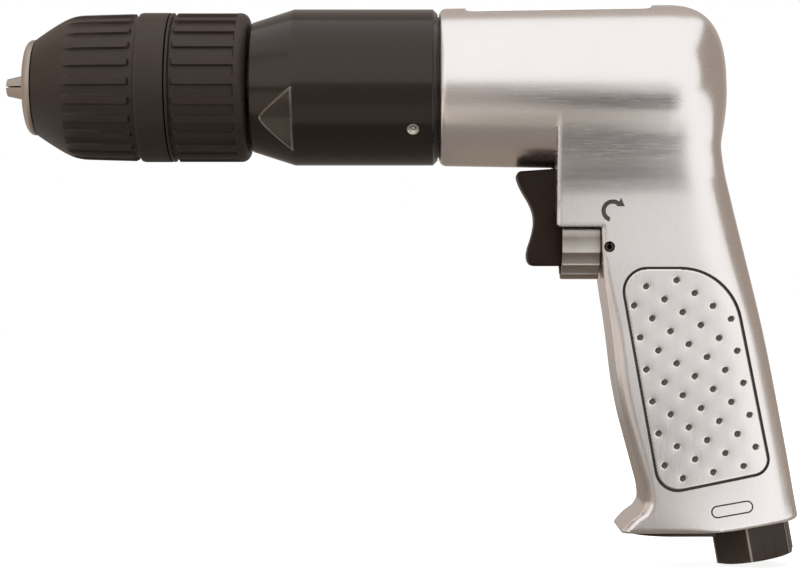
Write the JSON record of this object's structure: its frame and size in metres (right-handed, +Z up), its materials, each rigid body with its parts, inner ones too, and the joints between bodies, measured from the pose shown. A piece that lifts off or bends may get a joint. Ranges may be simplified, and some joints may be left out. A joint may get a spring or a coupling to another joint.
{
  "type": "air drill",
  "caption": "Pistol-grip reversible air drill with a keyless jaw chuck, planetary gear case, vane motor, sliding trigger and swinging reverse knob.",
  "frame": {"origin": "on the spindle axis at the tips of the closed jaws, where the bit enters", "axes": "X runs back along the spindle from the jaw tips to the rear, the bit leaves along -X; Z is up, with the handle hanging down; Y runs across to the right side of the user"},
  "size_m": [0.2409, 0.05, 0.17],
  "materials": {
    "cast_aluminium": "polished casting",
    "label_sheet": "satin label sheet, bare",
    "black_anodised": "glossy black oxide",
    "zinc_plate": "zinc plated",
    "gear_steel": "ground steel",
    "bearing_steel": "polished bearing steel",
    "felt": "pressed felt",
    "black_oxide": "black oxide on steel",
    "brass": "turned brass",
    "rubber": "nitrile rubber",
    "turned_steel": "fine turned steel",
    "chuck_plastic": "glass-filled black plastic",
    "vane_laminate": "phenolic laminate",
    "trigger_plastic": "moulded black plastic",
    "cast_zinc": "tumbled zinc casting"
  },
  "bodies": {
    "housing": {"motor_housing": "cast_aluminium", "label_plate": "label_sheet", "gear_case": "black_anodised", "grease_fitting": "zinc_plate", "ring_gear": "gear_steel", "spindle_seal": "felt", "spindle_bearing_outer": "bearing_steel", "bearing_circlip": "black_oxide", "gear_spacer": "gear_steel", "front_end_plate": "gear_steel", "motor_cylinder": "gear_steel", "rear_end_plate": "gear_steel", "cylinder_dowel": "gear_steel", "rotor_front_bearing_outer": "bearing_steel", "rotor_rear_bearing_outer": "bearing_steel", "throttle_bushing": "brass", "throttle_seal": "rubber", "throttle_spring": "zinc_plate", "reverse_pins": "black_oxide", "inlet_bushing": "black_oxide", "inlet_screen": "brass", "exhaust_plate": "black_oxide", "exhaust_silencer": "felt", "exhaust_screws": "black_oxide"},
    "spindle": {"spindle": "gear_steel", "spindle_bearing_inner": "bearing_steel", "stage2_pins": "gear_steel", "chuck_body": "gear_steel", "chuck_nose_collar": "turned_steel", "chuck_rear_sleeve": "chuck_plastic", "chuck_screw": "black_oxide"},
    "chuck_sleeve": {"chuck_front_sleeve": "chuck_plastic", "chuck_nut": "gear_steel"},
    "thrust_balls": {"chuck_thrust_balls": "bearing_steel"},
    "jaw_1": {"jaw_1": "turned_steel"},
    "jaw_2": {"jaw_2": "turned_steel"},
    "jaw_3": {"jaw_3": "turned_steel"},
    "spindle_balls": {"spindle_bearing_balls": "bearing_steel"},
    "carrier": {"planet_carrier": "gear_steel", "stage1_pins": "gear_steel"},
    "planet_1a": {"planet_1a": "gear_steel"},
    "planet_1b": {"planet_1b": "gear_steel"},
    "planet_1c": {"planet_1c": "gear_steel"},
    "planet_2a": {"planet_2a": "gear_steel"},
    "planet_2b": {"planet_2b": "gear_steel"},
    "planet_2c": {"planet_2c": "gear_steel"},
    "rotor": {"rotor": "gear_steel", "rotor_vanes": "vane_laminate", "rotor_front_bearing_inner": "bearing_steel", "rotor_rear_bearing_inner": "bearing_steel"},
    "rotor_front_balls": {"rotor_front_bearing_balls": "bearing_steel"},
    "rotor_rear_balls": {"rotor_rear_bearing_balls": "bearing_steel"},
    "trigger": {"trigger": "trigger_plastic", "trigger_stem": "zinc_plate", "throttle_valve": "rubber"},
    "reverse": {"reverse_knob": "cast_zinc", "reverse_valve": "brass"}
  },
  "joints": [
    {"name": "spindle_spin", "type": "hinge", "parent": "housing", "child": "spindle", "pos_m": [0.083, 0, 0], "axis": [1, 0, 0], "continuous": true},
    {"name": "sleeve_turn", "type": "hinge", "parent": "spindle", "child": "chuck_sleeve", "pos_m": [0.03, 0, 0], "axis": [-1, 0, 0], "range_deg": [0, 4140]},
    {"name": "thrust_ball_turn", "type": "hinge", "parent": "spindle", "child": "thrust_balls", "pos_m": [0.0398, 0, 0], "axis": [-1, 0, 0], "range_deg": [0, 2070]},
    {"name": "spindle_ball_turn", "type": "hinge", "parent": "housing", "child": "spindle_balls", "pos_m": [0.083, 0, 0], "axis": [1, 0, 0], "continuous": true},
    {"name": "carrier_spin", "type": "hinge", "parent": "housing", "child": "carrier", "pos_m": [0.109, 0, 0], "axis": [1, 0, 0], "continuous": true},
    {"name": "rotor_spin", "type": "hinge", "parent": "housing", "child": "rotor", "pos_m": [0.165, 0, 0], "axis": [1, 0, 0], "continuous": true},
    {"name": "rotor_front_ball_turn", "type": "hinge", "parent": "housing", "child": "rotor_front_balls", "pos_m": [0.1385, 0, 0], "axis": [1, 0, 0], "continuous": true},
    {"name": "rotor_rear_ball_turn", "type": "hinge", "parent": "housing", "child": "rotor_rear_balls", "pos_m": [0.1955, 0, 0], "axis": [1, 0, 0], "continuous": true},
    {"name": "jaw_1_slide", "type": "slide", "parent": "spindle", "child": "jaw_1", "axis": [0.9703, 0.2419, 0], "range_m": [0, 0.023]},
    {"name": "jaw_2_slide", "type": "slide", "parent": "spindle", "child": "jaw_2", "axis": [0.9703, -0.121, 0.2095], "range_m": [0, 0.023]},
    {"name": "jaw_3_slide", "type": "slide", "parent": "spindle", "child": "jaw_3", "axis": [0.9703, -0.121, -0.2095], "range_m": [0, 0.023]},
    {"name": "planet_1a_spin", "type": "hinge", "parent": "carrier", "child": "planet_1a", "pos_m": [0.117, 0, -0.0105], "axis": [1, 0, 0], "continuous": true},
    {"name": "planet_1b_spin", "type": "hinge", "parent": "carrier", "child": "planet_1b", "pos_m": [0.117, 0.00909, 0.00525], "axis": [1, 0, 0], "continuous": true},
    {"name": "planet_1c_spin", "type": "hinge", "parent": "carrier", "child": "planet_1c", "pos_m": [0.117, -0.00909, 0.00525], "axis": [1, 0, 0], "continuous": true},
    {"name": "planet_2a_spin", "type": "hinge", "parent": "spindle", "child": "planet_2a", "pos_m": [0.1006, 0, -0.0105], "axis": [1, 0, 0], "continuous": true},
    {"name": "planet_2b_spin", "type": "hinge", "parent": "spindle", "child": "planet_2b", "pos_m": [0.1006, 0.00909, 0.00525], "axis": [1, 0, 0], "continuous": true},
    {"name": "planet_2c_spin", "type": "hinge", "parent": "spindle", "child": "planet_2c", "pos_m": [0.1006, -0.00909, 0.00525], "axis": [1, 0, 0], "continuous": true},
    {"name": "trigger_slide", "type": "slide", "parent": "housing", "child": "trigger", "axis": [1, 0, 0], "range_m": [0, 0.006], "stiffness_N_per_m": 1200, "springref_m": -0.003, "deforming": ["throttle_spring"]},
    {"name": "reverse_turn", "type": "hinge", "parent": "housing", "child": "reverse", "pos_m": [0.19, 0, -0.04616], "axis": [1, 0, 0], "range_deg": [-22, 22]}
  ],
  "couplings": [
    {"joint": "spindle_spin", "follows": "rotor_spin", "ratio": 0.04},
    {"joint": "carrier_spin", "follows": "rotor_spin", "ratio": 0.2},
    {"joint": "spindle_ball_turn", "follows": "rotor_spin", "ratio": 0.016776},
    {"joint": "rotor_front_ball_turn", "follows": "rotor_spin", "ratio": 0.4},
    {"joint": "rotor_rear_ball_turn", "follows": "rotor_spin", "ratio": 0.4},
    {"joint": "thrust_ball_turn", "follows": "sleeve_turn", "ratio": 0.5},
    {"joint": "planet_1a_spin", "follows": "rotor_spin", "ratio": -0.53333},
    {"joint": "planet_2a_spin", "follows": "rotor_spin", "ratio": -0.10667},
    {"joint": "planet_1b_spin", "follows": "rotor_spin", "ratio": -0.53333},
    {"joint": "planet_2b_spin", "follows": "rotor_spin", "ratio": -0.10667},
    {"joint": "planet_1c_spin", "follows": "rotor_spin", "ratio": -0.53333},
    {"joint": "planet_2c_spin", "follows": "rotor_spin", "ratio": -0.10667},
    {"joint": "jaw_1_slide", "follows": "sleeve_turn", "m_per_rad": 0.00031831},
    {"joint": "jaw_2_slide", "follows": "sleeve_turn", "m_per_rad": 0.00031831},
    {"joint": "jaw_3_slide", "follows": "sleeve_turn", "m_per_rad": 0.00031831}
  ]
}
